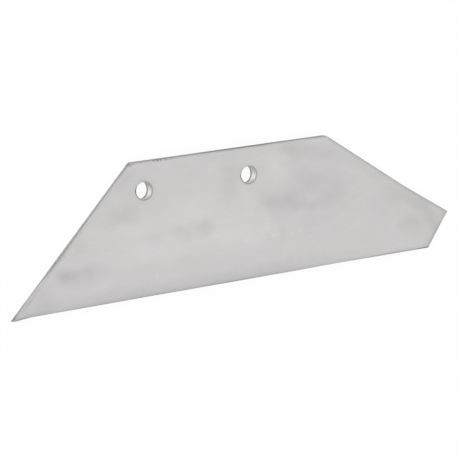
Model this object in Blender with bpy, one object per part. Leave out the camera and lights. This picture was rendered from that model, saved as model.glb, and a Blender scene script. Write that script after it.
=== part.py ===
"""Plough share: one steel blade sheared from flat bar, with two punched bolt holes near its back edge.

Metres, +Z up. The blade lies face up. The cutting edge runs along +X from the wing tip, +Y points from the
cutting edge to the back edge, and the origin is at the bottom centre of the blade.
"""

import math

import bmesh
import bpy
from mathutils import Matrix, Vector

# Flat bar that the blade is cut from
BLADE_WIDTH = 0.0906
BLADE_THICKNESS = 0.008
BAR_CORNER_RADIUS = 0.0010
BAR_EDGE_BULGE = 0.0003

# Outline
BLADE_LENGTH = 0.3402
WING_ANGLE = math.radians(44.75)
POINT_ANGLE = math.radians(34.9)
NOSE_ANGLE = math.radians(32.5)
NOSE_LENGTH = 0.0432
NOSE_HEIGHT = 0.0242
END_ANGLE = math.radians(52.7)
CORNER_RADIUS = 0.0008

# Wing tip, pulled out along the wing by the shear
TIP_TAPER_LENGTH = 0.010
TIP_DRAW_FACE = 0.0012
TIP_DRAW_UNDERSIDE = 0.0030
TIP_RADIUS = 0.0003

# Sheared ends: rolled-over lip at the face, burnished land, then a fracture that leans inwards
ROLLOVER_WIDTH = 0.0006
ROLLOVER_DEPTH = 0.0008
BURNISHED_DEPTH = 0.0028
FRACTURE_LEAN = 0.0002

# Punched bolt holes
HOLE_DIAMETER = 0.0115
HOLE_SPACING = 0.080
HOLE_INSET_FROM_WING_CORNER = 0.00645
HOLE_DISTANCE_FROM_BACK_EDGE = 0.01935
SECOND_HOLE_RISE = 0.0004
HOLE_LIP_WIDTH = 0.0009
HOLE_LIP_DEPTH = 0.0005
HOLE_LAND_DEPTH = 0.0048
HOLE_BREAKOUT = 0.0003

# Facets
CORNER_SEGMENTS = 4
SECTION_SEGMENTS = 5
HOLE_SEGMENTS = 64
PUNCH_OVERRUN = 0.002
LEAST_LEVEL_GAP = 0.00002
SMOOTH_ANGLE = math.radians(30.0)

ROLLED = "rolled"
DRAWN = "drawn"
SHEARED = "sheared"


def clear_scene():
    for obj in list(bpy.data.objects):
        bpy.data.objects.remove(obj, do_unlink=True)


def steel():
    """Bare mill-finish steel, pale and satin."""
    material = bpy.data.materials.new("blade_steel")
    material.use_nodes = True
    shader = material.node_tree.nodes["Principled BSDF"]
    shader.inputs["Base Color"].default_value = (0.60, 0.59, 0.58, 1.0)
    shader.inputs["Metallic"].default_value = 1.0
    shader.inputs["Roughness"].default_value = 0.45
    return material


def direction(angle):
    return Vector((math.cos(angle), math.sin(angle)))


def outline():
    """Corners of the blade counter-clockwise from the wing tip, each with the kind of the edge that leaves it."""
    wing_tip = Vector((0.0, 0.0))
    wing_corner = Vector((BLADE_WIDTH / math.tan(WING_ANGLE), BLADE_WIDTH))
    nose = Vector((BLADE_LENGTH, NOSE_HEIGHT))
    heel = Vector((nose.x - NOSE_HEIGHT / math.tan(END_ANGLE), 0.0))
    nose_bend = nose - NOSE_LENGTH * direction(-NOSE_ANGLE)
    point_run = (BLADE_WIDTH - nose_bend.y) / math.tan(POINT_ANGLE)
    point_corner = Vector((nose_bend.x - point_run, BLADE_WIDTH))
    tip_root = Vector((TIP_TAPER_LENGTH, 0.0))
    return [
        (wing_tip, DRAWN),
        (tip_root, ROLLED),
        (heel, SHEARED),
        (nose, SHEARED),
        (nose_bend, SHEARED),
        (point_corner, ROLLED),
        (wing_corner, SHEARED),
    ]


def hole_centres():
    wing_corner_x = BLADE_WIDTH / math.tan(WING_ANGLE)
    first = Vector((wing_corner_x + HOLE_INSET_FROM_WING_CORNER, BLADE_WIDTH - HOLE_DISTANCE_FROM_BACK_EDGE))
    return [first, first + Vector((HOLE_SPACING, SECOND_HOLE_RISE))]


def quarter_round(depth, radius_across, radius_down):
    """How far a rounded lip stands back from the edge at this depth below the face."""
    if depth >= radius_down:
        return 0.0
    share = 1.0 - depth / radius_down
    return radius_across * (1.0 - math.sqrt(1.0 - share * share))


def sheared_inset(depth):
    lip = quarter_round(depth, ROLLOVER_WIDTH, ROLLOVER_DEPTH)
    torn = max(0.0, depth - BURNISHED_DEPTH) / (BLADE_THICKNESS - BURNISHED_DEPTH)
    return lip + FRACTURE_LEAN * torn


def rolled_inset(depth):
    from_middle = 2.0 * depth / BLADE_THICKNESS - 1.0
    nearest_face = min(depth, BLADE_THICKNESS - depth)
    corner = quarter_round(nearest_face, BAR_CORNER_RADIUS, BAR_CORNER_RADIUS)
    return BAR_EDGE_BULGE * from_middle * from_middle + corner


def drawn_inset(depth):
    """The bar's edge beside the wing tip, whose lower half the shear drew down straight."""
    return rolled_inset(depth) if depth < BLADE_THICKNESS / 2 else 0.0


INSETS = {SHEARED: sheared_inset, ROLLED: rolled_inset, DRAWN: drawn_inset}


def section_depths():
    """Depths below the face at which the outline is drawn: close together at the lip and at the bar's corners."""
    quarter = [1.0 - math.cos(math.pi / 2 * step / SECTION_SEGMENTS) for step in range(SECTION_SEGMENTS + 1)]
    depths = [share * ROLLOVER_DEPTH for share in quarter]
    depths += [share * BAR_CORNER_RADIUS for share in quarter]
    depths += [BLADE_THICKNESS - share * BAR_CORNER_RADIUS for share in quarter]
    depths += [BURNISHED_DEPTH, (BURNISHED_DEPTH + BLADE_THICKNESS) / 2]
    kept = []
    for depth in sorted(depths):
        if not kept or depth - kept[-1] > LEAST_LEVEL_GAP:
            kept.append(depth)
    kept[-1] = BLADE_THICKNESS
    return kept


def crossing(point_a, along_a, point_b, along_b):
    """Where two lines meet."""
    across = along_a.x * along_b.y - along_a.y * along_b.x
    between = point_b - point_a
    return point_a + along_a * ((between.x * along_b.y - between.y * along_b.x) / across)


def drawn_corners(depth):
    """The outline's corners at this depth, with the wing tip pulled out along the wing."""
    corners = [corner.copy() for corner, _ in outline()]
    share = depth / BLADE_THICKNESS
    draw = TIP_DRAW_FACE + (TIP_DRAW_UNDERSIDE - TIP_DRAW_FACE) * share
    corners[0] -= draw * direction(WING_ANGLE)
    return corners


def inset_outline(depth):
    """The outline at this depth, each edge moved in by its own section and each corner rounded."""
    corners = drawn_corners(depth)
    kinds = [kind for _, kind in outline()]
    count = len(corners)
    along = [(corners[(i + 1) % count] - corners[i]).normalized() for i in range(count)]
    moved = []
    for i in range(count):
        inwards = Vector((-along[i].y, along[i].x))
        moved.append(corners[i] + inwards * INSETS[kinds[i]](depth))
    points = []
    for i in range(count):
        corner = crossing(moved[i - 1], along[i - 1], moved[i], along[i])
        radius = TIP_RADIUS if i == 0 else CORNER_RADIUS
        points += rounded_corner(corner, along[i - 1], along[i], radius)
    return points


def rounded_corner(corner, arriving, leaving, radius):
    """Points of the arc that rounds a corner, close together where the outline bends only a little."""
    turn = arriving.angle(leaving)
    reach = radius * math.tan(turn / 2)
    bends_left = arriving.x * leaving.y - arriving.y * leaving.x > 0
    side = 1.0 if bends_left else -1.0
    centre = corner - arriving * reach + side * radius * Vector((-arriving.y, arriving.x))
    start = corner - arriving * reach - centre
    points = []
    for step in range(CORNER_SEGMENTS + 1):
        swing = side * turn * step / CORNER_SEGMENTS
        turned = Matrix.Rotation(swing, 2) @ start
        points.append(centre + turned)
    return points


def blade_mesh():
    """The solid blade before its holes: the outline lofted from the face down to the underside."""
    bm = bmesh.new()
    rings = []
    for depth in section_depths():
        height = BLADE_THICKNESS - depth
        rings.append([bm.verts.new((point.x, point.y, height)) for point in inset_outline(depth)])
    for upper, lower in zip(rings, rings[1:]):
        for i in range(len(upper)):
            after = (i + 1) % len(upper)
            bm.faces.new((upper[i], lower[i], lower[after], upper[after]))
    bm.faces.new(rings[0])
    bm.faces.new(list(reversed(rings[-1])))
    bmesh.ops.recalc_face_normals(bm, faces=bm.faces)
    mesh = bpy.data.meshes.new("share_blade")
    bm.to_mesh(mesh)
    bm.free()
    return mesh


def punch_profile():
    """Radius and height down one side of the hole: rolled lip at the face, straight land, wider breakout below."""
    radius = HOLE_DIAMETER / 2
    skim = LEAST_LEVEL_GAP
    profile = [(radius + HOLE_LIP_WIDTH, BLADE_THICKNESS + PUNCH_OVERRUN)]
    for step in range(SECTION_SEGMENTS + 1):
        share = math.sin(math.pi / 2 * step / SECTION_SEGMENTS)
        depth = skim + (HOLE_LIP_DEPTH - skim) * share
        width = HOLE_LIP_WIDTH * (1.0 - math.sqrt(1.0 - (1.0 - share) ** 2))
        profile.append((radius + width, BLADE_THICKNESS - depth))
    profile.append((radius, BLADE_THICKNESS - HOLE_LAND_DEPTH))
    profile.append((radius + HOLE_BREAKOUT, 0.0))
    profile.append((radius + HOLE_BREAKOUT, -PUNCH_OVERRUN))
    return profile


def punch_mesh():
    """The turned punch that cuts one bolt hole, closed at both ends."""
    bm = bmesh.new()
    profile = punch_profile()
    rings = []
    for radius, height in profile:
        ring = []
        for step in range(HOLE_SEGMENTS):
            spot = radius * direction(2 * math.pi * step / HOLE_SEGMENTS)
            ring.append(bm.verts.new((spot.x, spot.y, height)))
        rings.append(ring)
    for upper, lower in zip(rings, rings[1:]):
        for i in range(HOLE_SEGMENTS):
            after = (i + 1) % HOLE_SEGMENTS
            bm.faces.new((upper[i], lower[i], lower[after], upper[after]))
    bm.faces.new(rings[0])
    bm.faces.new(list(reversed(rings[-1])))
    bmesh.ops.recalc_face_normals(bm, faces=bm.faces)
    mesh = bpy.data.meshes.new("hole_punch")
    bm.to_mesh(mesh)
    bm.free()
    return mesh


def to_bottom_centre(mesh):
    """The move that brings the origin to the bottom centre of this mesh."""
    xs = [vertex.co.x for vertex in mesh.vertices]
    ys = [vertex.co.y for vertex in mesh.vertices]
    return Vector((-(min(xs) + max(xs)) / 2, -(min(ys) + max(ys)) / 2, 0.0))


def add_object(name, mesh):
    obj = bpy.data.objects.new(name, mesh)
    bpy.context.scene.collection.objects.link(obj)
    return obj


def punch_holes(blade, move):
    """Cuts each bolt hole with a punch that stays in the file as a wire guide."""
    mesh = punch_mesh()
    for number, centre in enumerate(hole_centres(), start=1):
        punch = add_object(f"hole_punch_{number}", mesh)
        punch.location = Vector((centre.x, centre.y, 0.0)) + move
        punch.hide_render = True
        punch.display_type = "WIRE"
        cut = blade.modifiers.new(f"bolt_hole_{number}", "BOOLEAN")
        cut.operation = "DIFFERENCE"
        cut.solver = "EXACT"
        cut.object = punch


def build_blade():
    mesh = blade_mesh()
    move = to_bottom_centre(mesh)
    mesh.transform(Matrix.Translation(move))
    mesh.materials.append(steel())
    mesh.shade_smooth()
    mesh.set_sharp_from_angle(angle=SMOOTH_ANGLE)
    blade = add_object("share_blade", mesh)
    punch_holes(blade, move)
    return blade


def main():
    clear_scene()
    build_blade()


if __name__ == "__main__":
    main()
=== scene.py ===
# Plough share: one blade sheared from flat bar, with its finish, the light and the camera.
# Metres, +Z up. The blade lies face up, its cutting edge along +X and its back edge towards +Y.
import math
from collections import namedtuple

import bmesh
import bpy
from bpy.props import FloatProperty, FloatVectorProperty, PointerProperty
from mathutils import Euler, Matrix, Vector, noise
from mathutils.geometry import delaunay_2d_cdt


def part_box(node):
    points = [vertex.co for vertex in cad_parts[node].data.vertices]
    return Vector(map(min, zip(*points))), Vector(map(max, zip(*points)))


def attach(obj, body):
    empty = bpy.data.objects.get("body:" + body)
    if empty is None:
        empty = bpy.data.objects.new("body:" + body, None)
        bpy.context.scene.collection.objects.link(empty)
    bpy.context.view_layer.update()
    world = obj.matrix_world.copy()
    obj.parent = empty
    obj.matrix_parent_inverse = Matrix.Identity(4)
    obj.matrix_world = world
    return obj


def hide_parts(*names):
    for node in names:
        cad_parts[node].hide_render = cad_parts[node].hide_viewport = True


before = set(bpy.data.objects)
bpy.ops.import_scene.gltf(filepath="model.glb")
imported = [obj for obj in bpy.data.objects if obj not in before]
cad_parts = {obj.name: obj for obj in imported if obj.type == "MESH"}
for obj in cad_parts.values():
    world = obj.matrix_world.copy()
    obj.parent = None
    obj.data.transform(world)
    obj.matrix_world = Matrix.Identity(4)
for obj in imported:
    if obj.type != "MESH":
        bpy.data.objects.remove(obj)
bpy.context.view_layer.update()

bl_info = {
    "name": "Plough share",
    "version": (1, 0, 0),
    "blender": (4, 5, 0),
    "location": "View3D > Sidebar > Plough share",
    "description": "Makes a sheared steel plough share, lying on a pale studio floor",
    "category": "Object",
}

BLADE_LOW, BLADE_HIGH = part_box("share_blade")
MM = 0.001

# Kinds of edge, by how far they are a sheared cut
ROLLED, SHEARED = 0.0, 1.0

# Order of the blade's finishes in its material slots
FACE, CUT, BAR, HOLE = range(4)

# Rows of points on the flat faces beside each edge: millimetres from it, and how much of its painted shade
# they have
MARGIN_ROWS = [(2.4, 0), (1.3, 0.4), (0.5, 0.8)]

# Mesh fineness
COLUMN_PITCH = 0.5 * MM
RING_PITCH = 0.5 * MM
SHEET_PITCH = 6.0 * MM
CORNER_STEPS = 4
SECTION_STEPS = 5
HOLE_SEGMENTS = 128
LEAST_RING_GAP = 0.03 * MM
SMOOTH_ANGLE = math.radians(50.0)

# Filling of the flat faces: how close its rows lie for their pitch, when two points are one, and the setting
# that keeps only what lies inside the rim
SHEET_ROW_SHARE = 0.98
SAME_POINT = 1e-7
INSIDE_RIM = 1


def slider(kind, **settings):
    """A maker of one kind of property, which takes its name, description and default."""
    return lambda name, text, default: kind(name=name, description=text, default=default, **settings)


size = slider(FloatProperty, unit="LENGTH", precision=5)
share = slider(FloatProperty, min=0.0, max=1.0, subtype="FACTOR")
amount = slider(FloatProperty, min=0.0)
focal_length = slider(FloatProperty, min=0.0, unit="CAMERA")
power = slider(FloatProperty, min=0.0, unit="POWER")
shift = slider(FloatVectorProperty, size=2, unit="LENGTH")
position = slider(FloatVectorProperty, size=3, subtype="TRANSLATION", unit="LENGTH")
rotation = slider(FloatVectorProperty, size=3, subtype="EULER", unit="ROTATION")
colour = slider(FloatVectorProperty, size=3, min=0.0, max=1.0, subtype="COLOR")


def angle(name, description, degrees):
    return slider(FloatProperty, subtype="ANGLE")(name, description, math.radians(degrees))


class BladeSizes(bpy.types.PropertyGroup):
    """The blade's outline, its edges' sections and its bolt holes."""

    thickness: size("Thickness", "Thickness of the flat bar", BLADE_HIGH.z - BLADE_LOW.z)
    width: size("Width", "Width of the flat bar", 0.0906)
    length: size("Length", "Wing tip to nose, along the cutting edge", 0.3402)
    wing_angle: angle("Wing angle", "Slope of the long wing end", 44.75)
    point_angle: angle("Point angle", "Slope of the end that leads to the nose", 34.9)
    nose_angle: angle("Nose angle", "Slope of the last stretch before the nose", 32.5)
    nose_length: size("Nose length", "Length of the last stretch before the nose", 0.0432)
    nose_height: size("Nose height", "Height of the nose above the cutting edge", 0.0242)
    end_angle: angle("End angle", "Slope of the short end below the nose", 52.7)
    corner_radius: size("Corner radius", "Rounding of the outline's corners", 0.0008)
    tip_radius: size("Tip radius", "Rounding of the wing tip", 0.0003)
    tip_taper: size("Tip taper", "Length over which the shear pulled the wing tip down", 0.010)
    tip_draw_face: size("Tip draw, face", "How far the shear pulled out the upper tip", 0.0012)
    tip_draw_underside: size("Tip draw, underside", "How far the shear pulled out the lower tip", 0.0030)
    bar_corner_radius: size("Bar corner radius", "Rounding of the flat bar's own corners", 0.0010)
    bar_edge_bulge: size("Bar edge bulge", "How far the bar's rolled edges bulge", 0.0003)
    lip_width: size("Lip width", "Width of a sheared end's rolled-over lip", 0.0006)
    lip_depth: size("Lip depth", "Depth of a sheared end's rolled-over lip", 0.0008)
    land_depth: size("Land depth", "Depth at which a sheared end's land ends", 0.0028)
    fracture_lean: size("Fracture lean", "How far the fracture leans in at the underside", 0.0002)
    hole_diameter: size("Hole diameter", "Diameter of the bolt holes' land", 0.0115)
    hole_spacing: size("Hole spacing", "Distance between the bolt holes", 0.080)
    hole_inset: size("Hole inset", "First hole from the wing corner, along the bar", 0.00645)
    hole_drop: size("Hole drop", "First hole from the back edge", 0.01935)
    second_hole_rise: size("Second hole rise", "How much nearer the back edge the second hole is", 0.0004)
    hole_lip_width: size("Hole lip width", "Width of the rounded lip of a hole", 0.0009)
    hole_lip_depth: size("Hole lip depth", "Depth of the rounded lip of a hole", 0.0005)
    hole_land_depth: size("Hole land depth", "Depth at which a hole's land ends", 0.0048)
    hole_breakout: size("Hole breakout", "How much wider the hole is at the underside", 0.0003)
    hole_lean: shift("Hole lean", "How far aside a hole is at the underside", (-0.00025, -0.00025))


class EdgeWear(bpy.types.PropertyGroup):
    """What the shear, the rolls and handling did to the edges."""

    tear_depth: size("Tear depth", "Depth of the fracture's torn relief", 0.00018)
    tear_width: size("Tear width", "Width of one tear along the edge", 0.0011)
    tear_height: size("Tear height", "Height of one tear down the edge", 0.0030)
    land_wander: size("Land wander", "How much the land's depth varies", 0.0009)
    land_wander_length: size("Land wander length", "Distance over which the land's depth varies", 0.009)
    land_fade: size("Land fade", "Depth over which the land turns into fracture", 0.0014)
    hole_flare: size("Hole flare", "Further flare of a hole's torn foot towards the back edge", 0.00045)
    hole_land_sway: size("Hole land sway", "How much deeper a hole's land is towards wing and nose", 0.0005)
    lip_wander: share("Lip wander", "How much the lip's width varies", 0.35)
    lip_wander_length: size("Lip wander length", "Distance over which the lip's width varies", 0.012)
    mill_relief: size("Mill relief", "Unevenness of the bar's rolled edges", 0.00006)
    mill_relief_length: size("Mill relief length", "Distance over which the rolled edges vary", 0.007)
    end_wear: size("End wear", "How far the short end below the nose is worn back", 0.00012)
    nick_reach: size("Nick reach", "How far down from the face a nick in the back edge goes", 0.0016)


class SteelFinish(bpy.types.PropertyGroup):
    """Colours and gloss of the blade's surfaces, as linear reflectance, some of them painted shade."""

    face: colour("Face", "Pale satin of the faces", (0.607, 0.600, 0.589))
    face_cool: colour("Cooler patches", "Where the faces' mill film is rubbed", (0.610, 0.596, 0.604))
    # The lips' dark colour is painted shade, darker on the point's ends than on the wing's for the way they
    # face
    lip: colour("Lip", "Rolled-over lip of the point's sheared ends", (0.350, 0.346, 0.342))
    wing_lip: colour("Wing lip", "Rolled-over lip of the wing end", (0.566, 0.557, 0.559))
    land: colour("Land", "Burnished land of the sheared ends", (0.575, 0.566, 0.568))
    fracture: colour("Fracture", "Torn lower part of the sheared ends", (0.465, 0.458, 0.460))
    # The bar edges' dark colour is the rolls' skin and painted shade; the rounded corners stay paler
    bar_edge: colour("Bar edge", "Rolled edges of the bar", (0.281, 0.2765, 0.276))
    bar_corner: colour("Bar corner", "Rounded corners of the bar", (0.558, 0.547, 0.547))
    # The holes' dark lip colour is painted shade
    hole_lip: colour("Hole lip", "Rounded lip of the holes", (0.40, 0.396, 0.392))
    hole_land: colour("Hole land", "Burnished wall of the holes", (0.62, 0.61, 0.60))
    hole_breakout: colour("Hole breakout", "Torn foot of the holes' walls", (0.31, 0.307, 0.304))
    # Painted shade on the faces beside the edges and round the holes
    margin_painted_shade: share("Margin tone", "Darkening of the faces at the worked edges", 0.15)
    # Painted shade in the back edge's nicks
    nick_painted_shade: share("Nick tone", "Darkening of the back edge for a nick of a millimetre", 0.85)
    # Painted shade along the cutting edge
    strip_painted_shade: share("Strip tone", "Darkening of the face along the cutting edge", 0.11)
    face_roughness: share("Face roughness", "Roughness of the faces", 0.42)
    land_roughness: share("Land roughness", "Roughness of burnished metal", 0.30)
    torn_roughness: share("Torn roughness", "Roughness of torn metal", 0.60)
    bar_roughness: share("Bar edge roughness", "Roughness of the rolled edges", 0.48)


class Studio(bpy.types.PropertyGroup):
    """The camera, the lamps and the floor."""

    camera_place: position("Camera place", "Where the camera stands", (-0.67452, 0.22019, 1.20353))
    camera_turn: rotation("Camera turn", "The way it faces", (-0.126052914, -0.517622769, -0.079276346))
    lens: focal_length("Lens", "Focal length", 161.273)
    floor_size: size("Floor size", "Side of the square floor", 12.0)
    floor_gap: size("Floor gap", "Gap between the floor and the blade's underside", 0.00005)
    floor_colour: colour("Floor colour", "The floor's own colour", (0.95, 0.95, 0.95))
    floor_glow: share("Floor glow", "How much of the floor is plain white to the eye", 0.935)
    sky: amount("Sky", "Strength of the even light from above", 1.0)
    horizon: amount("Horizon", "Strength of that light low down", 0.82)
    key_power: power("Key power", "Power of the lamp beyond the wing", 3.0)
    key_size: size("Key size", "Side of the lamp beyond the wing", 1.4)
    key_place: position("Key place", "Where that lamp hangs", (-1.0, 1.3, 1.4))


# Soft marks on the face: change of tone, middle and reaches in millimetres, and tilt in degrees if any
FACE_MARKS = [
    (-0.19, -134, -21, 14, 10),
    (-0.105, -117, -21.5, 21, 8),
    (-0.035, -125, -28, 22, 7),
    (-0.05, -122, -4, 9, 9),
    (-0.08, -150, -32, 12, 17),
    (-0.06, -87, 13, 15, 9),
    (-0.02, -80, 18, 70, 34),
    (-0.03, -68, -4, 12, 6),
    (-0.08, -27.5, -4.5, 11, 10),
    (-0.025, -42, -4, 20, 7),
    (-0.065, -5, 27, 13, 20),
    (-0.03, -14, 43, 18, 7),
    (-0.04, 22, 7, 13, 11),
    (-0.08, 34, 6, 20, 11),
    (-0.06, 43, 4, 12, 11),
    (-0.08, 52, 0, 14, 7),
    (-0.03, 55, 10, 80, 44),
    (-0.07, 55, 17, 16, 15),
    (-0.04, 68, 1, 22, 8),
    (-0.04, 75, 7, 18, 14),
    (-0.02, 80, 13, 14, 12),
    (-0.04, 40, 43, 12, 8),
    (-0.07, 54, 38, 38, 9, -12),
    (-0.04, 33, -16, 5, 8),
    (-0.03, 54, -11, 9, 9),
    (-0.03, 70, -9, 9, 9),
    (-0.04, 115, -8, 26, 11),
    (-0.08, 128, -2, 17, 11, -25),
    (-0.065, 139, -23.5, 19, 10, -15),
    (-0.095, 148, -12, 26, 9, -32),
    (-0.06, 160, -34, 18, 8, 53),
    (-0.05, 99, 22, 44, 7, -35),
    (-0.1, 168, -22, 5, 4),
    (-0.08, 157, -26, 9, 13, 30),
    (-0.03, 150, -30, 30, 20),
    (0.06, -42, 10, 30, 15),
    (0.055, -58, -14.5, 74, 12, 2),
    (0.03, -80, -1, 56, 14),
    (0.03, -36, 3, 30, 12),
    (0.03, -76, 4, 24, 12),
    (0.02, -30, 20, 32, 16),
    (0.062, -6, -7, 42, 26),
    (0.025, 16, -15, 22, 11),
    (0.035, 8, 11, 11, 24),
    (0.05, 30, 28, 14, 25),
    (-0.09, 157, -38, 16, 9, 53),
    (-0.025, 24, -38, 28, 10),
    (0.03, 20, -4, 8, 12),
    (0.02, -53, -8, 13, 8),
    (0.02, 67, -7, 9, 9),
    (-0.02, 130, -26, 9, 9),
    (-0.02, 6, 43, 26, 8),
    (-0.015, -72, 43, 14, 8),
    (-0.08, -85, 37, 15, 7, 45),
    (0.045, 55, -43, 36, 4),
    (0.045, -135, -43.5, 26, 4),
    (-0.04, -37, 2, 8, 6),
    (-0.025, -41, 20, 11, 7),
    (-0.025, -62, 39, 9, 8),
    (-0.02, 7, -7, 7, 7),
    (-0.02, 36, 16, 9, 7),
    (-0.02, -133, -28, 9, 6),
    (0.025, 18, 2, 7, 7),
    (0.02, 25, -11, 8, 7),
    (0.015, -20, 35, 9, 8),
]

# Where the face is cooler in colour, given like the marks, without a change
COOL_PATCHES = [
    (68, 22, 34, 44, -20),
    (42, 6, 26, 18, 20),
    (62, -10, 20, 26),
    (-90, -46, 50, 30),
    (-50, -46, 60, 24),
    (4, -44, 38, 32),
    (62, -47, 60, 17),
    (-150, -34, 34, 38),
    (-130, -21, 14, 10),
    (-112, -20, 18, 14),
    (-72, -11, 13, 12),
    (-70, 46, 30, 18),
    (-20, 48, 34, 16),
    (112, -10, 18, 12),
    (122, -34, 15, 22, 15),
]

# Thin bright scratches on the face, given like the marks, with their strength first
SCRATCHES = [
    (0.25, 25, -17.3, 30, 0.5),
    (0.7, 3.5, -17.4, 1.8, 0.5),
    (0.7, 17.4, -17.4, 2.6, 0.7),
    (0.8, 26.3, -16.6, 4.2, 1.2, 12),
    (0.8, 39.5, -17.4, 2.8, 1.3, 2),
    (0.9, 47.5, -16.9, 4.2, 0.6, 5),
    (0.4, 47, -13.4, 3.5, 0.4),
    (0.5, 54, -22, 3.5, 0.5, -50),
    (0.4, 56, -25.5, 0.6, 2.2),
    (0.5, 68.5, -17.6, 0.6, 1.8),
    (0.5, -66.8, -31.5, 0.9, 2.4),
]

# Nicks in the back edge, in millimetres: place along the edge, half length, depth
BACK_EDGE_NICKS = [
    (-62.5, 0.9, 0.42),
    (-59.8, 1.2, 0.52),
    (-57.2, 0.9, 0.42),
    (-53.7, 1.1, 0.3),
    (-50, 2.6, 0.15),
]

# How much longer than a nick its painted shade is, and how wide that is in millimetres
NICK_SHADE_SPREAD = 1.5
NICK_SHADE_WIDTH = 3

# How much of the edges' painted shade the faces have round the bolt holes
HOLE_EDGE_PAINTED_SHADE = 0.3

# Slow waves of the cutting edge, in millimetres: place along the edge, half length, depth
CUTTING_EDGE_WAVES = [
    (148, 26, -0.22),
    (75, 26, 0.22),
    (-71, 26, 0.08),
]

# Height above the cutting edge over which those waves fade away
CUTTING_EDGE_REACH = 9.0 * MM

# Where the wing end's burnished land runs deeper or shallower, in millimetres: place, half length, change
DEEPER_LAND = [
    (-157, 14, 3),
    (-131, 11, -1.1),
    (-100, 17, 0.8),
]

# Marks on the sheared ends, given like the face's
END_MARKS = [
    (-0.1, -160, -36, 22, 12, 45),
    (-0.04, -138, -14, 14, 12, 45),
]

# Corners where the edges have painted shade, in millimetres: middle and reach. Below them, by how much
PAINTED_SHADE_CORNERS = [
    (-170, -46, 6),
    (170, -21, 4),
    (151, -44, 5),
    (-79.5, 45.5, 3),
]
CORNER_PAINTED_SHADE = 0.30

# Marks on the bar's edges between their rounded corners, given like the face's
BAR_SIDE_MARKS = [
    (-0.42, 6, 46, 47, 10),
    (-0.1, 22, 46, 18, 10),
    (-0.36, 124, -46, 40, 10),
    (-0.3, -8, -46, 24, 10),
    (-0.2, -93, -46, 14, 10),
]

# Marks on the bar's edges over their whole height, given like the face's
BAR_EDGE_MARKS = [
    (0.07, 44, 46, 30, 10),
    (-0.13, 124, -46, 28, 10),
    (0.16, 66, -46, 34, 10),
    (0.15, -143, -46, 14, 10),
    (-0.17, -8, -46, 34, 10),
    (-0.34, 147, -46, 11, 6),
]

# Painted light and shade on the bolt holes' lips: which of the holes, then a mark like the face's, placed
# from their middles
FIRST, SECOND, BOTH = (0,), (1,), (0, 1)
HOLE_LIP_PAINTED_LIGHT = [
    (FIRST, -0.8, -6.3, 0.8, 3, 4.4),
    (SECOND, -0.45, -6.3, -1.8, 2.6, 4),
    (BOTH, -0.12, -4.4, -4.6, 6, 3, -45),
    (BOTH, 0.45, -3.4, 5.6, 6.5, 3.2, 32),
    (SECOND, 0.2, 1.6, 6.3, 3.4, 2, -10),
]

# Painted light and shade on the bolt holes' walls, in the same way
HOLE_WALL_PAINTED_LIGHT = [
    (BOTH, -0.28, 4.6, 3.9, 5.6, 3.2, -48),
    (BOTH, 0.34, 5.4, -2.4, 4, 3, 66),
    (BOTH, -0.08, 3.8, -5.2, 2.4, 2, 30),
    (BOTH, -0.2, 1.6, -5.6, 2.4, 1.6, 10),
    (FIRST, -0.28, 4.3, 4.3, 4, 2.6, -45),
    (SECOND, -0.2, 3.4, 5, 2.6, 2, -35),
    (BOTH, -0.3, 2, 5.6, 3, 2.4),
    (BOTH, -0.6, -5.8, 0.5, 2.6, 6),
]

# How steeply a nick, a wave or a change of the land falls away from its middle
HOLLOW_STEEPNESS = 1.5

# Torn metal's relief: its mean and spread as shares of the tear depth; how fast its noise's octaves fade,
# the step between them and how many they are; and how much of it a hole's torn foot has
TEAR_MEAN = 0.35
TEAR_SPREAD = 0.7
TEAR_NOISE = (0.8, 2.1, 3)
HOLE_TEAR_SHARE = 0.5

# The layer of noise that varies the lip, and how much faster the rolled edges vary down than along
LIP_NOISE_LAYER = 7.0
MILL_RATE_DOWN = 2.0

# Which edges have painted shade for the way they face, by their way inwards: its lean, where the shade
# starts, and over how much
PAINTED_SHADE_LEAN = 0.2
PAINTED_SHADE_START = -0.04
PAINTED_SHADE_SPAN = 0.45

# How nearly a point has to face as the short end does before it is worn with it
SHORT_END_FACING = 0.85

# Depths below the face, in millimetres, that a tone comes in between: none at the first, all at the second.
# The bar's corners have theirs from the underside too
UPPER_SIDE = (6.0, 2.0)
CUT_LIP = (1.3, 0.5)
BAR_CORNER = (1.2, 0.4)
NICK_FOOT = (3.0, 1.5)
NICK_TOP = (0.0, 0.12)
HOLE_LIP = (0.6, 0.2)

# The strip of painted shade along the cutting edge, in the same way: between which Y, and between which X
SHADE_STRIP_RISE = (BLADE_LOW.y + 15 * MM, BLADE_LOW.y + 2 * MM)
SHADE_STRIP_END = (110 * MM, 55 * MM)

# Size and reach, in millimetres, of the waves that make the rims of the face's marks uneven
RIM_WAVES = (13, 9)

# Sum of the cooler patches over which the face takes their colour
COOL_BAND = (0.05, 0.45)

# Layers of noise in the finishes. Each has its cloud: size of the patches in millimetres, detail, and how
# much longer they are along each axis. Then its changes of brightness, roughness and relief in millimetres
FACE_NOISE = [
    ((30, 4), (0.10, 0.10, 0.05)),
    ((6, 3, (2, 1, 1)), (0.07, 0, 0)),
    ((0.5, 3, (24, 1, 1)), (0.10, 0.06, 0.006)),
    ((0.9, 3), (0.14, 0.10, 0.008)),
]
CUT_NOISE = [
    ((0.35, 2, (1, 1, 30)), (0.12, 0.12, 0.01)),
    ((9, 3), (0.15, 0, 0)),
]
BAR_NOISE = [
    ((0.35, 3, (40, 1, 1)), (0.20, 0, 0.015)),
    ((3, 4, (2.5, 1, 1)), (0.25, 0.25, 0.03)),
    ((0.8, 3), (0.12, 0.10, 0.015)),
    ((25, 2), (0.12, 0, 0)),
]
HOLE_NOISE = [((0.9, 3, (1, 1, 30)), (0.35, 0.10, 0.015))]

# Tears in the fracture and in the holes' torn foot, given like the layers
CUT_TEARS = [((0.7, 4, (1, 1, 2.5)), (0.5, 0, 0.14))]
HOLE_TEARS = [((0.7, 4, (1, 1, 2)), (0.5, 0, 0.12))]

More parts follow.
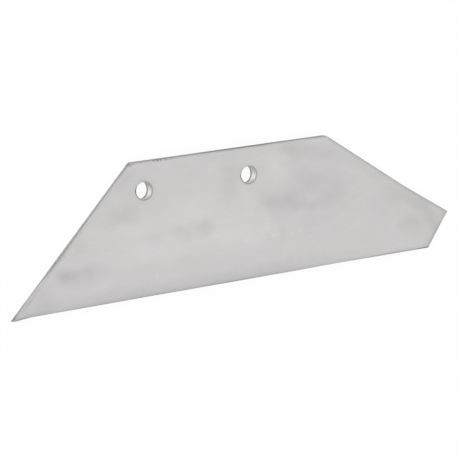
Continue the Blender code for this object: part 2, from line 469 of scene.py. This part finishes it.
# Scratches: the cloud that breaks them up, the band of it that does, and their changes to the surface
SCRATCH_CLOUD = (1.6, 2)
SCRATCH_BAND = (-0.12, 0.02)
SCRATCH_CHANGES = (0.14, -0.08, -0.010)

# Pits in the fracture, in the same way
PIT_CLOUD = (1.1, 3, (1, 1, 1.6))
PIT_BAND = (0.08, 0.16)
PIT_CHANGES = (-0.35, 0, -0.10)

# Painted shade on the bar's edges for the way they face, and roughening of a sheared end's lip
BAR_PAINTED_SHADE = 0.28
LIP_ROUGHENING = 0.15

# The Mix node's sockets for its two colours, and the one for their mixture
MIX_FIRST, MIX_SECOND = 6, 7
MIX_RESULT = 2

# Heights in the sky, as shares, between which the light goes from the horizon's strength to the sky's
HORIZON_BAND = (-0.05, 0.55)


# Outline and sections


def direction(turn):
    return Vector((math.cos(turn), math.sin(turn)))


def outline(sizes):
    """Corners counter-clockwise from the wing tip, each with the kind of the edge that leaves it."""
    wing_tip = Vector((0.0, 0.0))
    wing_corner = Vector((sizes.width / math.tan(sizes.wing_angle), sizes.width))
    nose = Vector((sizes.length, sizes.nose_height))
    heel = Vector((nose.x - sizes.nose_height / math.tan(sizes.end_angle), 0.0))
    nose_bend = nose - sizes.nose_length * direction(-sizes.nose_angle)
    point_run = (sizes.width - nose_bend.y) / math.tan(sizes.point_angle)
    point_corner = Vector((nose_bend.x - point_run, sizes.width))
    tip_root = Vector((sizes.tip_taper, 0.0))
    return [
        (wing_tip, ROLLED),
        (tip_root, ROLLED),
        (heel, SHEARED),
        (nose, SHEARED),
        (nose_bend, SHEARED),
        (point_corner, ROLLED),
        (wing_corner, SHEARED),
    ]


# Places of three edges in that order
DRAWN_EDGE = 0
BACK_EDGE = 5
WING_END = 6


def hole_centres(sizes):
    wing_corner_x = sizes.width / math.tan(sizes.wing_angle)
    first = Vector((wing_corner_x + sizes.hole_inset, sizes.width - sizes.hole_drop))
    return [first, first + Vector((sizes.hole_spacing, sizes.second_hole_rise))]


def quarter_round(depth, across, down):
    """How far a rounded lip stands back from the edge at this depth below the face."""
    if depth >= down:
        return 0.0
    left = 1.0 - depth / down
    return across * (1.0 - math.sqrt(1.0 - left * left))


def soft_step(value):
    value = min(1.0, max(0.0, value))
    return value * value * (3.0 - 2.0 * value)


def sheared_inset(sizes, depth):
    torn = max(0.0, depth - sizes.land_depth) / (sizes.thickness - sizes.land_depth)
    return quarter_round(depth, sizes.lip_width, sizes.lip_depth) + sizes.fracture_lean * torn


def rolled_inset(sizes, depth):
    from_middle = 2.0 * depth / sizes.thickness - 1.0
    nearest_face = min(depth, sizes.thickness - depth)
    corner = quarter_round(nearest_face, sizes.bar_corner_radius, sizes.bar_corner_radius)
    return sizes.bar_edge_bulge * from_middle * from_middle + corner


def drawn_inset(sizes, depth):
    """The bar's edge beside the wing tip, whose lower half the shear drew down straight."""
    return rolled_inset(sizes, depth) if depth < sizes.thickness / 2 else 0.0


def ring_depths(sizes):
    """Depths below the face at which the edges are drawn, closest where their sections turn."""
    turn = [1.0 - math.cos(math.pi / 2 * step / SECTION_STEPS) for step in range(SECTION_STEPS + 1)]
    depths = [step * sizes.lip_depth for step in turn]
    depths += [step * sizes.bar_corner_radius for step in turn]
    depths += [sizes.thickness - step * sizes.bar_corner_radius for step in turn]
    wall = sizes.thickness - 2 * sizes.bar_corner_radius
    rows = round(wall / RING_PITCH)
    depths += [sizes.bar_corner_radius + wall * row / rows for row in range(rows)]
    kept = []
    for depth in sorted(depths):
        if not kept or depth - kept[-1] > LEAST_RING_GAP:
            kept.append(depth)
    kept[-1] = sizes.thickness
    return kept


def crossing(point_a, along_a, point_b, along_b):
    """Where two lines meet."""
    across = along_a.x * along_b.y - along_a.y * along_b.x
    between = point_b - point_a
    return point_a + along_a * ((between.x * along_b.y - between.y * along_b.x) / across)


def inward(along):
    return Vector((-along.y, along.x))


# One upright line of points on the blade's rim
Column = namedtuple("Column", "point inwards cut edge")


def rounded_corner(corner, arriving, leaving, radius, edge, cut_before, cut_after):
    turn = arriving.angle(leaving)
    reach = radius * math.tan(turn / 2)
    side = math.copysign(1.0, arriving.x * leaving.y - arriving.y * leaving.x)
    centre = corner - arriving * reach + side * radius * inward(arriving)
    start = corner - arriving * reach - centre
    columns = []
    for step in range(CORNER_STEPS + 1):
        part = step / CORNER_STEPS
        swing = Matrix.Rotation(side * turn * part, 2)
        cut = cut_before + (cut_after - cut_before) * part
        columns.append(Column(centre + swing @ start, inward(swing @ arriving), cut, edge))
    return columns


def clean_ring(sizes, depth, margin=0.0):
    """Columns of the outline at this depth before any wear, or of a line inside it by a margin."""
    corners = [corner.copy() for corner, _ in outline(sizes)]
    cuts = [cut for _, cut in outline(sizes)]
    count = len(corners)
    spans = [(corners[(i + 1) % count] - corners[i]).length for i in range(count)]
    down = depth / sizes.thickness
    draw = sizes.tip_draw_face + (sizes.tip_draw_underside - sizes.tip_draw_face) * down
    corners[0] -= draw * direction(sizes.wing_angle)
    along = [(corners[(i + 1) % count] - corners[i]).normalized() for i in range(count)]
    by_kind = {SHEARED: sheared_inset(sizes, depth), ROLLED: rolled_inset(sizes, depth)}
    insets = [by_kind[cut] for cut in cuts]
    insets[DRAWN_EDGE] = drawn_inset(sizes, depth)
    moved = [corners[i] + inward(along[i]) * (insets[i] + margin) for i in range(count)]
    rounds = []
    for i in range(count):
        corner = crossing(moved[i - 1], along[i - 1], moved[i], along[i])
        radius = sizes.tip_radius if i == 0 else sizes.corner_radius
        rounds.append(rounded_corner(corner, along[i - 1], along[i], radius, i, cuts[i - 1], cuts[i]))
    ring = []
    for i in range(count):
        ring += rounds[i]
        start, end = rounds[i][-1].point, rounds[(i + 1) % count][0].point
        steps = max(1, round(spans[i] / COLUMN_PITCH))
        for step in range(1, steps):
            ring.append(Column(start.lerp(end, step / steps), inward(along[i]), cuts[i], i))
    return ring


def frame_shift(rings):
    """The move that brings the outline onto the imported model."""
    xs = [column.point.x for ring in rings for column in ring]
    ys = [column.point.y for ring in rings for column in ring]
    return Vector((BLADE_HIGH.x - max(xs), BLADE_HIGH.y - max(ys)))


# Wear of the edges


def hollows(place, listed):
    """How deep an edge's listed hollows are at this place: most at their middles, fading past their ends."""
    total = 0.0
    for middle, half_length, depth in listed:
        off = (place.x - middle * MM) / (half_length * MM)
        total += depth * MM * math.exp(-off * off * HOLLOW_STEEPNESS)
    return total


def torn_share(wear, place, depth, land_depth):
    """0 on the burnished land, 1 in the fracture below it."""
    wander = noise.noise(Vector((place.x, place.y, 0.0)) / wear.land_wander_length)
    return soft_step((depth - land_depth - wear.land_wander * wander) / wear.land_fade)


def tear_relief(wear, place, depth):
    """How deep the torn metal lies here."""
    spot = Vector((place.x / wear.tear_width, place.y / wear.tear_width, depth / wear.tear_height))
    relief = TEAR_MEAN + TEAR_SPREAD * noise.fractal(spot, *TEAR_NOISE)
    return wear.tear_depth * min(1.0, max(0.0, relief))


def edge_wave(place):
    """How far the cutting edge's slow waves carry a point, fading away above the edge."""
    fade = soft_step(1.0 - (place.y - BLADE_LOW.y) / CUTTING_EDGE_REACH)
    return fade * hollows(place, CUTTING_EDGE_WAVES)


def short_end(sizes, inwards):
    """1 on the short end below the nose, falling to 0 round its corners."""
    facing = inwards.dot(inward(direction(sizes.end_angle)))
    return soft_step((facing - SHORT_END_FACING) / (1.0 - SHORT_END_FACING))


def worn_inset(sizes, wear, column, place, depth):
    """How far wear sets this point back, and how torn it is."""
    land_depth = sizes.land_depth
    if column.edge == WING_END:
        land_depth += hollows(place, DEEPER_LAND)
    torn = column.cut * torn_share(wear, place, depth, land_depth)
    lip = quarter_round(depth, sizes.lip_width, sizes.lip_depth)
    layer = LIP_NOISE_LAYER * wear.lip_wander_length
    lip_noise = noise.noise(Vector((place.x, place.y, layer)) / wear.lip_wander_length)
    inset = torn * tear_relief(wear, place, depth) + column.cut * lip * wear.lip_wander * lip_noise
    spot = Vector((place.x, place.y, depth * MILL_RATE_DOWN)) / wear.mill_relief_length
    inset += (1.0 - column.cut) * wear.mill_relief * (0.5 + 0.5 * noise.noise(spot))
    inset += wear.end_wear * short_end(sizes, column.inwards)
    if column.edge == BACK_EDGE:
        fade = max(0.0, 1.0 - depth / wear.nick_reach)
        inset += fade * hollows(place, BACK_EDGE_NICKS)
    return inset, torn


def painted_facing_shade(inwards):
    """Painted shade for the way an edge faces: 1 on the point's edges, about half on the cutting edge, and 0
    on the wing end and the back edge.
    """
    facing = PAINTED_SHADE_LEAN * inwards.y - inwards.x
    return soft_step((facing - PAINTED_SHADE_START) / PAINTED_SHADE_SPAN)


def hole_radius(sizes, wear, centre, way, depth):
    """Radius of a hole's wall this way from its middle, with its torn foot, and how torn it is."""
    place = centre + way * sizes.hole_diameter / 2
    land_depth = sizes.hole_land_depth + wear.hole_land_sway * (way.x * way.x - way.y * way.y)
    torn = torn_share(wear, place, depth, land_depth)
    foot = max(0.0, depth - land_depth) / (sizes.thickness - land_depth)
    radius = sizes.hole_diameter / 2 + quarter_round(depth, sizes.hole_lip_width, sizes.hole_lip_depth)
    radius += (sizes.hole_breakout + wear.hole_flare * soft_step(way.y)) * foot
    return radius + torn * tear_relief(wear, place, depth) * HOLE_TEAR_SHARE, torn


# Mesh of the blade


class Layers:
    """The blade's mesh in the making, with what its vertices tell their finishes."""

    def __init__(self):
        self.bm = bmesh.new()
        self.torn = self.bm.verts.layers.float.new("torn")
        # Painted shade of the edges and of the faces beside them, as a share at each vertex
        self.painted_edge_shade = self.bm.verts.layers.float.new("painted_edge_shade")

    def vertex(self, place, depth, torn, painted_edge_shade):
        made = self.bm.verts.new((place.x, place.y, BLADE_HIGH.z - depth))
        made[self.torn] = torn
        made[self.painted_edge_shade] = painted_edge_shade
        return made


def rim_margin(layers, sizes, depth, move, margin, tone):
    """A row of vertices on a flat face, inside the rim by this margin in millimetres, with its share of
    painted shade.
    """
    ring = clean_ring(sizes, depth, margin * MM)
    return [layers.vertex(c.point + move, depth, 0.0, tone * painted_facing_shade(c.inwards)) for c in ring]


def rim_rows(layers, sizes, wear, rings, depths, move):
    """Rows of vertices from inside the upper face, over the rim and into the underside."""
    rows = [rim_margin(layers, sizes, 0.0, move, *margin) for margin in MARGIN_ROWS]
    for depth, ring in zip(depths, rings):
        row = []
        for column in ring:
            place = column.point + move
            inset, torn = worn_inset(sizes, wear, column, place, depth)
            spot = place + column.inwards * inset + Vector((0.0, edge_wave(place)))
            row.append(layers.vertex(spot, depth, torn, painted_facing_shade(column.inwards)))
        rows.append(row)
    rows += [rim_margin(layers, sizes, sizes.thickness, move, *margin) for margin in reversed(MARGIN_ROWS)]
    return rows


def hole_margin(layers, middle, radius, depth, ways, margin, tone):
    """A row of vertices on a flat face, outside a hole's radius by this margin in millimetres, with its
    share of painted shade.
    """
    radius += margin * MM
    return [layers.vertex(middle + way * radius, depth, 0.0, tone * HOLE_EDGE_PAINTED_SHADE) for way in ways]


def hole_rows(layers, sizes, wear, centre, depths):
    """Rows of vertices from the upper face, down a hole and into the underside."""
    ways = [direction(2 * math.pi * step / HOLE_SEGMENTS) for step in range(HOLE_SEGMENTS)]
    lean = Vector(sizes.hole_lean)
    upper = sizes.hole_diameter / 2 + sizes.hole_lip_width
    rows = [hole_margin(layers, centre, upper, 0.0, ways, *margin) for margin in MARGIN_ROWS]
    for depth in depths:
        middle = centre + lean * depth / sizes.thickness
        row = []
        for way in ways:
            radius, torn = hole_radius(sizes, wear, centre, way, depth)
            row.append(layers.vertex(middle + way * radius, depth, torn, HOLE_EDGE_PAINTED_SHADE))
        rows.append(row)
    foot = centre + lean
    lower = sizes.hole_diameter / 2 + sizes.hole_breakout + wear.hole_flare + wear.tear_depth
    for margin in reversed(MARGIN_ROWS):
        rows.append(hole_margin(layers, foot, lower, sizes.thickness, ways, *margin))
    return rows


def skin(bm, rows, finish_of):
    """Faces between rows of vertices, with the edge's own finish except on the flat faces beside it."""
    margins = len(MARGIN_ROWS)
    for level, (upper, lower) in enumerate(zip(rows, rows[1:])):
        on_edge = margins <= level < len(rows) - 1 - margins
        for i in range(len(upper)):
            after = (i + 1) % len(upper)
            face = bm.faces.new((upper[i], lower[i], lower[after], upper[after]))
            face.material_index = finish_of(i, after) if on_edge else FACE


def grid_points(low, high, pitch):
    """Staggered points that fill a box."""
    points = []
    rows = int((high.y - low.y) / pitch)
    for row in range(1, rows + 1):
        stagger = 0.5 * pitch * (row % 2)
        for step in range(1, int((high.x - low.x) / pitch)):
            points.append(Vector((low.x + stagger + step * pitch, low.y + row * pitch * SHEET_ROW_SHARE)))
    return points


def flat_sheet(bm, rim, holes, hole_middles):
    """A flat face inside the rim and outside the holes, in even triangles."""
    loops = [rim] + holes
    known = [vertex for loop in loops for vertex in loop]
    points = [vertex.co.xy for vertex in known]
    fences = []
    start = 0
    for loop in loops:
        count = len(loop)
        fences += [(start + i, start + (i + 1) % count) for i in range(count)]
        start += count
    height = rim[0].co.z
    clear = (holes[0][0].co.xy - hole_middles[0]).length + SHEET_PITCH / 3
    for point in grid_points(BLADE_LOW, BLADE_HIGH, SHEET_PITCH):
        if all((point - middle).length > clear for middle in hole_middles):
            points.append(point)
    spots, _, faces, sources, _, _ = delaunay_2d_cdt(points, fences, [], INSIDE_RIM, SAME_POINT)
    vertices = []
    for spot, source in zip(spots, sources):
        first = source[0] if source else len(known)
        if first < len(known):
            vertices.append(known[first])
        else:
            vertices.append(bm.verts.new((spot.x, spot.y, height)))
    for corners in faces:
        triangle = [vertices[i] for i in corners]
        if not any(set(triangle) <= set(hole) for hole in holes):
            bm.faces.new(triangle).material_index = FACE
    loose = [vertex for vertex in vertices if not vertex.link_faces]
    bmesh.ops.delete(bm, geom=loose, context="VERTS")


def blade_mesh(sizes, wear):
    """The blade's mesh, and the middles of its holes."""
    layers = Layers()
    bm = layers.bm
    depths = ring_depths(sizes)
    rings = [clean_ring(sizes, depth) for depth in depths]
    move = frame_shift(rings)
    columns = rings[0]
    middles = [centre + move for centre in hole_centres(sizes)]
    rows = rim_rows(layers, sizes, wear, rings, depths, move)
    holes = [hole_rows(layers, sizes, wear, middle, depths) for middle in middles]
    skin(bm, rows, lambda i, after: CUT if columns[i].cut + columns[after].cut > 1.0 else BAR)
    for hole in holes:
        skin(bm, hole, lambda i, after: HOLE)
    flat_sheet(bm, rows[0], [hole[0] for hole in holes], middles)
    flat_sheet(bm, rows[-1], [hole[-1] for hole in holes], middles)
    bmesh.ops.recalc_face_normals(bm, faces=bm.faces)
    mesh = bpy.data.meshes.new("blade_plate")
    bm.to_mesh(mesh)
    bm.free()
    mesh.shade_smooth()
    mesh.set_sharp_from_angle(angle=SMOOTH_ANGLE)
    return mesh, middles


# Shader maths


class Wire:
    """A shader socket that can be used in sums."""

    def __init__(self, tree, socket):
        self.tree = tree
        self.socket = socket

    def maths(self, operation, first, second):
        return self.tree.node("ShaderNodeMath", {"operation": operation}, {0: first, 1: second})[0]

    def __add__(self, other):
        return self.maths("ADD", self, other)

    __radd__ = __add__

    def __sub__(self, other):
        return self.maths("SUBTRACT", self, other)

    def __rsub__(self, other):
        return self.maths("SUBTRACT", other, self)

    def __mul__(self, other):
        return self.maths("MULTIPLY", self, other)

    __rmul__ = __mul__


class ShaderTree:
    """A material's or the world's node tree, emptied and ready to be wired."""

    def __init__(self, tree):
        self.tree = tree
        tree.nodes.clear()

    def node(self, kind, settings, inputs):
        """Adds a node: its settings first, then the values or links of its sockets. Gives its outputs."""
        made = self.tree.nodes.new(kind)
        for name, value in settings.items():
            setattr(made, name, value)
        for name, value in inputs.items():
            if isinstance(value, Wire):
                self.tree.links.new(value.socket, made.inputs[name])
            else:
                made.inputs[name].default_value = value
        outputs = {}
        for index, socket in enumerate(made.outputs):
            outputs[index] = outputs[socket.name] = Wire(self, socket)
        return outputs

    def place(self):
        return self.node("ShaderNodeTexCoord", {}, {})["Object"]

    def parts(self, vector):
        return self.node("ShaderNodeSeparateXYZ", {}, {0: vector})

    def vector(self, operation, *inputs):
        made = self.node("ShaderNodeVectorMath", {"operation": operation}, dict(enumerate(inputs)))
        return made["Value" if operation == "LENGTH" else "Vector"]

    def scaled(self, vector, factor):
        return self.node("ShaderNodeVectorMath", {"operation": "SCALE"}, {0: vector, "Scale": factor})[0]

    def blend(self, part, first, second):
        """One colour turning into another as part goes from 0 to 1."""
        ends = {0: part}
        for name, value in ((MIX_FIRST, first), (MIX_SECOND, second)):
            ends[name] = value if isinstance(value, Wire) else (*value, 1.0)
        return self.node("ShaderNodeMix", {"data_type": "RGBA"}, ends)[MIX_RESULT]

    def ramp(self, value, low, high):
        """0 below low, 1 above high and a soft slope between; turned round where low is the larger."""
        ends = {"Value": value, "From Min": min(low, high), "From Max": max(low, high)}
        ends["To Min"], ends["To Max"] = (0.0, 1.0) if low < high else (1.0, 0.0)
        return self.node("ShaderNodeMapRange", {"interpolation_type": "SMOOTHSTEP"}, ends)[0]

    def noise(self, place, patch, detail, stretch=(1, 1, 1)):
        """Noise from 0 to 1 in patches of this size in millimetres, longer along an axis by its stretch."""
        scaled = self.vector("MULTIPLY", place, [1.0 / (patch * MM * longer) for longer in stretch])
        return self.node("ShaderNodeTexNoise", {}, {"Vector": scaled, "Scale": 1.0, "Detail": detail})

    def cloud(self, *layer):
        """Grey noise from -0.5 to 0.5."""
        return self.noise(*layer)[0] - 0.5

    def warped(self, place, patch, reach):
        """The place, pushed about in waves of this size and by up to half the reach, both in millimetres."""
        push = self.vector("SUBTRACT", self.noise(place, patch, 3)["Color"], (0.5, 0.5, 0.5))
        return self.vector("ADD", place, self.scaled(push, reach * MM))

    def spot(self, place, x, y, along, across, tilt=0):
        """1 in the middle of an oval, seen from above, fading to 0 at its rim. Sizes in millimetres."""
        if tilt:
            turn = {"Vector": place, "Center": (x * MM, y * MM, 0.0), "Angle": -math.radians(tilt)}
            place = self.node("ShaderNodeVectorRotate", {"rotation_type": "Z_AXIS"}, turn)[0]
        reach = (1.0 / (along * MM), 1.0 / (across * MM), 0.0)
        own = self.vector("MULTIPLY_ADD", place, reach, (-x / along, -y / across, 0.0))
        return self.ramp(self.vector("LENGTH", own), 1.0, 0.0)

    def marks(self, place, marks):
        """The sum of these ovals, each times its change, which comes first."""
        return sum(change * self.spot(place, *oval) for change, *oval in marks)

    def noisy(self, surface, place, layers, part=1.0):
        """The surface with these layers of noise, which each point has only as far as its part."""
        for cloud, changes in layers:
            surface = changed(surface, part * self.cloud(place, *cloud), changes)
        return surface

    def vertex_value(self, name):
        return self.node("ShaderNodeAttribute", {"attribute_name": name}, {})["Fac"]

    def steel(self, colour, brightness, roughness, relief):
        """Bare metal with this colour, brightness and roughness, and a relief in millimetres."""
        bump = self.node("ShaderNodeBump", {}, {"Distance": MM, "Height": relief})[0]
        tint = self.scaled(colour, brightness)
        inputs = {"Base Color": tint, "Metallic": 1.0, "Roughness": roughness, "Normal": bump}
        self.finish(self.node("ShaderNodeBsdfPrincipled", {}, inputs)["BSDF"])

    def finish(self, shader):
        self.node("ShaderNodeOutputMaterial", {}, {"Surface": shader})


def changed(surface, layer, changes):
    """Brightness, roughness and relief of a surface, each with a layer's change to it."""
    return [value + change * layer if change else value for value, change in zip(surface, changes)]


def new_material(name):
    material = bpy.data.materials.new(name)
    material.use_nodes = True
    return material, ShaderTree(material.node_tree)


def painted_corner_shade(tree, place):
    """1 away from the blade's corners, less where painted shade darkens the metal at them."""
    corners = [(-CORNER_PAINTED_SHADE, x, y, reach, reach) for x, y, reach in PAINTED_SHADE_CORNERS]
    return 1.0 + tree.marks(place, corners)


def torn_roughness(finish, torn):
    """Roughness that goes from burnished metal's to torn metal's."""
    return finish.land_roughness + (finish.torn_roughness - finish.land_roughness) * torn


def by_depth(tree, height, none, full):
    """0 at one depth below the face and 1 at another, both in millimetres."""
    return tree.ramp(height, BLADE_HIGH.z - none * MM, BLADE_HIGH.z - full * MM)


# Finishes


def face_steel(finish):
    """Pale mill finish, satin, with soft grey marks and a few thin scratches, and painted shade along the
    cutting edge and beside the edges.
    """
    material, tree = new_material("face_steel")
    place = tree.place()
    uneven = tree.warped(place, *RIM_WAVES)
    uneven_parts = tree.parts(uneven)
    upper = by_depth(tree, tree.parts(place)["Z"], *UPPER_SIDE)
    shade_strip = tree.ramp(uneven_parts["Y"], *SHADE_STRIP_RISE) * tree.ramp(uneven_parts["X"], *SHADE_STRIP_END)
    brightness = 1.0 + upper * (tree.marks(uneven, FACE_MARKS) - finish.strip_painted_shade * shade_strip)
    # Painted shade beside the edges and round the holes
    brightness -= finish.margin_painted_shade * tree.vertex_value("painted_edge_shade")
    surface = tree.noisy([brightness, finish.face_roughness, 0.0], place, FACE_NOISE)
    broken = tree.ramp(tree.cloud(place, *SCRATCH_CLOUD), *SCRATCH_BAND)
    surface = changed(surface, tree.marks(place, SCRATCHES) * upper * broken, SCRATCH_CHANGES)
    cool = sum(tree.spot(uneven, *patch) for patch in COOL_PATCHES)
    tree.steel(tree.blend(tree.ramp(cool, *COOL_BAND), finish.face, finish.face_cool), *surface)
    return material


def cut_steel(finish):
    """Sheared ends: rolled lip in painted shade, darkest on the point's ends, burnished land with fine score
    lines, torn fracture with pits, and painted shade at the corners.
    """
    material, tree = new_material("cut_steel")
    place = tree.place()
    torn = tree.vertex_value("torn")
    lip = by_depth(tree, tree.parts(place)["Z"], *CUT_LIP)
    # The lip's colour is painted shade, darker on the point's ends for the way they face
    lip_painted_shade = tree.blend(tree.vertex_value("painted_edge_shade"), finish.wing_lip, finish.lip)
    metal = tree.blend(lip, tree.blend(torn, finish.land, finish.fracture), lip_painted_shade)
    brightness = painted_corner_shade(tree, place) + tree.marks(place, END_MARKS)
    surface = [brightness, torn_roughness(finish, torn) + LIP_ROUGHENING * lip, 0.0]
    surface = tree.noisy(surface, place, CUT_NOISE)
    surface = tree.noisy(surface, place, CUT_TEARS, torn)
    pits = tree.ramp(tree.cloud(place, *PIT_CLOUD), *PIT_BAND)
    tree.steel(metal, *changed(surface, torn * pits, PIT_CHANGES))
    return material


def bar_edge_steel(finish):
    """The bar's own edges: darker skin from the rolls and painted shade, streaked along the bar, with
    painted shade at the corners and in the nicks.
    """
    material, tree = new_material("bar_edge_steel")
    place = tree.place()
    height = tree.parts(place)["Z"]
    lower_corner = tree.ramp(height, *(BLADE_LOW.z + rise * MM for rise in BAR_CORNER))
    corner = by_depth(tree, height, *BAR_CORNER) + lower_corner
    # Painted shade at the blade's corners and for the way each edge faces
    brightness = painted_corner_shade(tree, place) - BAR_PAINTED_SHADE * tree.vertex_value("painted_edge_shade")
    brightness += (1.0 - corner) * tree.marks(place, BAR_SIDE_MARKS) + tree.marks(place, BAR_EDGE_MARKS)
    near_face = by_depth(tree, height, *NICK_FOOT) * by_depth(tree, height, *NICK_TOP)
    # Painted shade in the nicks, near the face
    nick_shades = []
    for x, half_length, depth in BACK_EDGE_NICKS:
        nick_shades.append((depth, x, BLADE_HIGH.y / MM, NICK_SHADE_SPREAD * half_length, NICK_SHADE_WIDTH))
    brightness -= finish.nick_painted_shade * near_face * tree.marks(place, nick_shades)
    surface = tree.noisy([brightness, finish.bar_roughness, 0.0], place, BAR_NOISE)
    tree.steel(tree.blend(corner, finish.bar_edge, finish.bar_corner), *surface)
    return material


def painted_hole_light(tree, place, middles, marks):
    """The painted light and shade of one list, laid round the holes that they name."""
    laid = []
    for holes, change, x, y, *rest in marks:
        for hole in holes:
            middle = middles[hole] / MM
            laid.append((change, middle.x + x, middle.y + y, *rest))
    return tree.marks(place, laid)


def hole_steel(finish, middles):
    """Punched holes: rounded lip in painted shade, bright land with fine lines down it, and a torn foot,
    with painted light and shade on lip and wall.
    """
    material, tree = new_material("hole_steel")
    place = tree.place()
    torn = tree.vertex_value("torn")
    lip = by_depth(tree, tree.parts(place)["Z"], *HOLE_LIP)
    lip_painted_light = painted_hole_light(tree, place, middles, HOLE_LIP_PAINTED_LIGHT)
    wall_painted_light = painted_hole_light(tree, place, middles, HOLE_WALL_PAINTED_LIGHT)
    brightness = 1.0 + lip * lip_painted_light + (1.0 - lip) * wall_painted_light
    surface = tree.noisy([brightness, torn_roughness(finish, torn), 0.0], place, HOLE_NOISE)
    surface = tree.noisy(surface, place, HOLE_TEARS, torn)
    metal = tree.blend(torn, finish.hole_land, finish.hole_breakout)
    tree.steel(tree.blend(lip, metal, finish.hole_lip), *surface)
    return material


# Stage


def studio_floor(studio):
    """A white floor that keeps the blade's soft shadow."""
    half = studio.floor_size / 2
    height = BLADE_LOW.z - studio.floor_gap
    mesh = bpy.data.meshes.new("studio_floor")
    corners = [(x * half, y * half, height) for x, y in ((-1, -1), (1, -1), (1, 1), (-1, 1))]
    mesh.from_pydata(corners, [], [(0, 1, 2, 3)])
    material, tree = new_material("floor_paper")
    path = tree.node("ShaderNodeLightPath", {}, {})
    seen = path["Is Camera Ray"] + path["Is Glossy Ray"] + path["Is Transmission Ray"]
    paper = tree.node("ShaderNodeBsdfDiffuse", {}, {"Color": (*studio.floor_colour, 1.0)})[0]
    glow = tree.node("ShaderNodeEmission", {}, {"Color": (1.0, 1.0, 1.0, 1.0), "Strength": 1.0})[0]
    mix = tree.node("ShaderNodeMixShader", {}, {0: seen * studio.floor_glow, 1: paper, 2: glow})[0]
    tree.finish(mix)
    mesh.materials.append(material)
    floor = bpy.data.objects.new("studio_floor", mesh)
    bpy.context.scene.collection.objects.link(floor)


def studio_sky(studio):
    """Even white light from above, a little weaker towards the horizon."""
    world = bpy.data.worlds.new("studio_sky")
    world.use_nodes = True
    bpy.context.scene.world = world
    tree = ShaderTree(world.node_tree)
    way = tree.node("ShaderNodeTexCoord", {}, {})["Generated"]
    rise = tree.ramp(tree.parts(way)["Z"], *HORIZON_BAND)
    strength = studio.horizon + (studio.sky - studio.horizon) * rise
    sky = tree.node("ShaderNodeBackground", {}, {"Color": (1.0, 1.0, 1.0, 1.0), "Strength": strength})[0]
    tree.node("ShaderNodeOutputWorld", {}, {"Surface": sky})


def studio_lamp(name, place, side, watts):
    """A square lamp that points at the blade."""
    light = bpy.data.lights.new(name, "AREA")
    light.shape = "SQUARE"
    light.size = side
    light.energy = watts
    lamp = bpy.data.objects.new(name, light)
    lamp.location = place
    lamp.rotation_mode = "QUATERNION"
    lamp.rotation_quaternion = ((BLADE_LOW + BLADE_HIGH) / 2 - Vector(place)).to_track_quat("-Z", "Y")
    bpy.context.scene.collection.objects.link(lamp)


def studio_camera(studio):
    data = bpy.data.cameras.new("studio_camera")
    data.lens = studio.lens
    data.sensor_width = 36.0
    data.clip_start = 0.05
    data.clip_end = 50.0
    camera = bpy.data.objects.new("studio_camera", data)
    camera.location = studio.camera_place
    camera.rotation_euler = Euler(studio.camera_turn, "XYZ")
    bpy.context.scene.collection.objects.link(camera)
    bpy.context.scene.camera = camera


# Add-on


class SHARE_OT_blade(bpy.types.Operator):
    """Make the blade, with its sheared ends, rolled edges and punched bolt holes"""

    bl_idname = "share.blade"
    bl_label = "Blade"

    def execute(self, context):
        scene = context.scene
        finish = scene.share_finish
        mesh, middles = blade_mesh(scene.share_sizes, scene.share_wear)
        steels = [face_steel(finish), cut_steel(finish), bar_edge_steel(finish)]
        for material in [*steels, hole_steel(finish, middles)]:
            mesh.materials.append(material)
        blade = bpy.data.objects.new("blade_plate", mesh)
        scene.collection.objects.link(blade)
        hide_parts("share_blade")
        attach(blade, "root")
        return {"FINISHED"}


class SHARE_OT_stage(bpy.types.Operator):
    """Make the floor, the light and the camera"""

    bl_idname = "share.stage"
    bl_label = "Stage"

    def execute(self, context):
        studio = context.scene.share_studio
        studio_floor(studio)
        studio_sky(studio)
        studio_lamp("key_lamp", studio.key_place, studio.key_size, studio.key_power)
        studio_camera(studio)
        context.scene.view_settings.view_transform = "Standard"
        return {"FINISHED"}


class SHARE_PT_panel(bpy.types.Panel):
    """Sizes, finish and studio of the plough share"""

    bl_label = "Plough share"
    bl_idname = "SHARE_PT_panel"
    bl_space_type = "VIEW_3D"
    bl_region_type = "UI"
    bl_category = "Plough share"

    def draw(self, context):
        layout = self.layout
        layout.operator(SHARE_OT_blade.bl_idname)
        layout.operator(SHARE_OT_stage.bl_idname)
        for group in SCENE_GROUPS:
            box = layout.box()
            settings = getattr(context.scene, group)
            for name in settings.bl_rna.properties.keys():
                if name not in {"rna_type", "name"}:
                    box.prop(settings, name)


SCENE_GROUPS = {
    "share_sizes": BladeSizes,
    "share_wear": EdgeWear,
    "share_finish": SteelFinish,
    "share_studio": Studio,
}
CLASSES = [*SCENE_GROUPS.values(), SHARE_OT_blade, SHARE_OT_stage, SHARE_PT_panel]


def register():
    for cls in CLASSES:
        bpy.utils.register_class(cls)
    for name, group in SCENE_GROUPS.items():
        setattr(bpy.types.Scene, name, PointerProperty(type=group))


def unregister():
    for name in SCENE_GROUPS:
        delattr(bpy.types.Scene, name)
    for cls in reversed(CLASSES):
        bpy.utils.unregister_class(cls)


def main():
    register()
    bpy.ops.share.blade()
    bpy.ops.share.stage()


if __name__ == "__main__":
    main()
